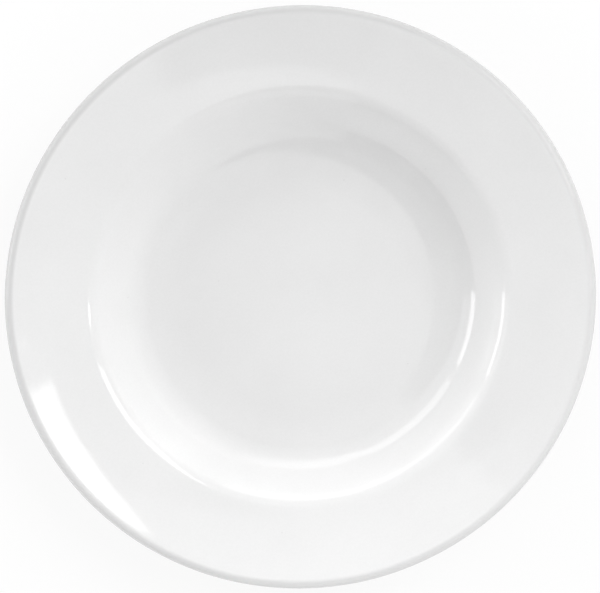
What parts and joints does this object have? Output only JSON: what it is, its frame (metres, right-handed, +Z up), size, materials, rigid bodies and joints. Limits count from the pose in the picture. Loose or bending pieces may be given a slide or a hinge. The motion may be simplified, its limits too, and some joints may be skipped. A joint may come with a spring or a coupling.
{
  "type": "rimmed soup plate",
  "caption": "Round white glazed porcelain soup plate with a broad sweeping rim, a deep flat-floored well, a rounded lip and a foot ring to stand on.",
  "frame": {"origin": "centre of the foot ring, on the plane that the plate stands on", "axes": "+Z up along the plate's axis of turning; +X and +Y are arbitrary, since the plate is round"},
  "size_m": [0.23, 0.23, 0.0332],
  "materials": {
    "bare_porcelain": "matte",
    "white_glaze": "gloss"
  },
  "bodies": {
    "root": {"porcelain_body": "bare_porcelain", "face_glaze": "white_glaze", "base_glaze": "white_glaze"}
  },
  "joints": []
}
